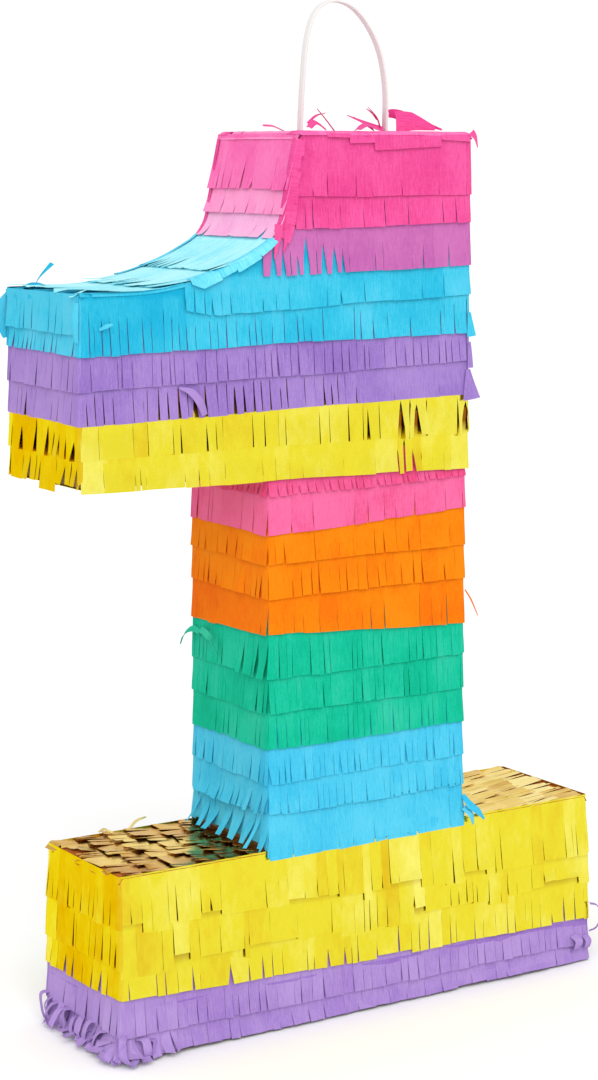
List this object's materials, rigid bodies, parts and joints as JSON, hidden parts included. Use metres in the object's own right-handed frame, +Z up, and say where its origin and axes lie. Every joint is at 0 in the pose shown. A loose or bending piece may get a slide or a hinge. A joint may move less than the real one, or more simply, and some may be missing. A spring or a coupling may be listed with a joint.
{
  "type": "pinata",
  "caption": "Numeral-one party pinata: hollow cardboard box covered in paper and foil fringe, with a fold-out filling flap behind and a strap loop to hang it.",
  "frame": {"origin": "centre of the bottom face of the foot, on the surface that it stands on", "axes": "+X along the foot, with the flag pointing to -X; the front faces -Y; +Z up to the strap"},
  "size_m": [0.288, 0.074, 0.4797],
  "materials": {
    "cardboard": "matt kraft",
    "kraft_tape": "matt",
    "strap": "woven white tape",
    "tissue_pink": "crinkled tissue",
    "tissue_violet": "thin tissue over a darker sheet",
    "tissue_cyan": "crinkled tissue",
    "tissue_purple": "crinkled tissue",
    "foil_gold": "mirror metallised film",
    "tissue_orange": "crinkled tissue",
    "tissue_green": "crinkled tissue",
    "tissue_sky": "crinkled tissue"
  },
  "bodies": {
    "root": {"anchor_patch": "cardboard", "back_panel": "cardboard", "back_seam_tapes": "kraft_tape", "base_bottom_panel": "cardboard", "base_fringe_gold_1": "foil_gold", "base_fringe_gold_2": "foil_gold", "base_fringe_gold_3": "foil_gold", "base_fringe_purple_1": "tissue_purple", "base_fringe_purple_2": "tissue_purple", "base_left_end_panel": "cardboard", "base_right_end_panel": "cardboard", "base_top_fringe_left": "foil_gold", "base_top_fringe_right": "foil_gold", "base_top_left_panel": "cardboard", "base_top_right_panel": "cardboard", "curve_fringe_cyan_1": "tissue_cyan", "curve_fringe_cyan_2": "tissue_cyan", "curve_fringe_cyan_3": "tissue_cyan", "curve_fringe_pink_1": "tissue_pink", "curve_fringe_pink_2": "tissue_pink", "curve_fringe_pink_3": "tissue_pink", "flag_curve_panel": "cardboard", "flag_end_panel": "cardboard", "flag_underside_foil": "foil_gold", "flag_underside_panel": "cardboard", "front_panel": "cardboard", "front_seam_tapes": "kraft_tape", "head_fringe_cyan_1": "tissue_cyan", "head_fringe_cyan_2": "tissue_cyan", "head_fringe_gold_1": "foil_gold", "head_fringe_gold_2": "foil_gold", "head_fringe_pink_1": "tissue_pink", "head_fringe_pink_2": "tissue_pink", "head_fringe_purple_1": "tissue_purple", "head_fringe_purple_2": "tissue_purple", "head_fringe_violet": "tissue_violet", "head_top_fringe": "tissue_pink", "head_top_panel": "cardboard", "right_side_panel": "cardboard", "stem_fringe_green_1": "tissue_green", "stem_fringe_green_2": "tissue_green", "stem_fringe_green_3": "tissue_green", "stem_fringe_orange_1": "tissue_orange", "stem_fringe_orange_2": "tissue_orange", "stem_fringe_orange_3": "tissue_orange", "stem_fringe_pink_1": "tissue_pink", "stem_fringe_pink_2": "tissue_pink", "stem_fringe_sky_1": "tissue_sky", "stem_fringe_sky_2": "tissue_sky", "stem_fringe_sky_3": "tissue_sky", "stem_left_panel": "cardboard", "strap_tails": "strap"},
    "loop": {"hanging_loop": "strap"},
    "flap": {"fill_flap": "cardboard", "flap_fringe_cyan_2": "tissue_cyan", "flap_fringe_purple_1": "tissue_purple", "flap_fringe_purple_2": "tissue_purple"}
  },
  "joints": [
    {"name": "loop_tip", "type": "hinge", "parent": "root", "child": "loop", "pos_m": [0.01645, 0, 0.4215], "axis": [1, 0, 0], "range_deg": [-75, 75], "stiffness_Nm_per_rad": 0.003},
    {"name": "flap_open", "type": "hinge", "parent": "root", "child": "flap", "pos_m": [-0.0275, 0.035, 0.31675], "axis": [0, 0, 1], "range_deg": [0, 110]}
  ]
}
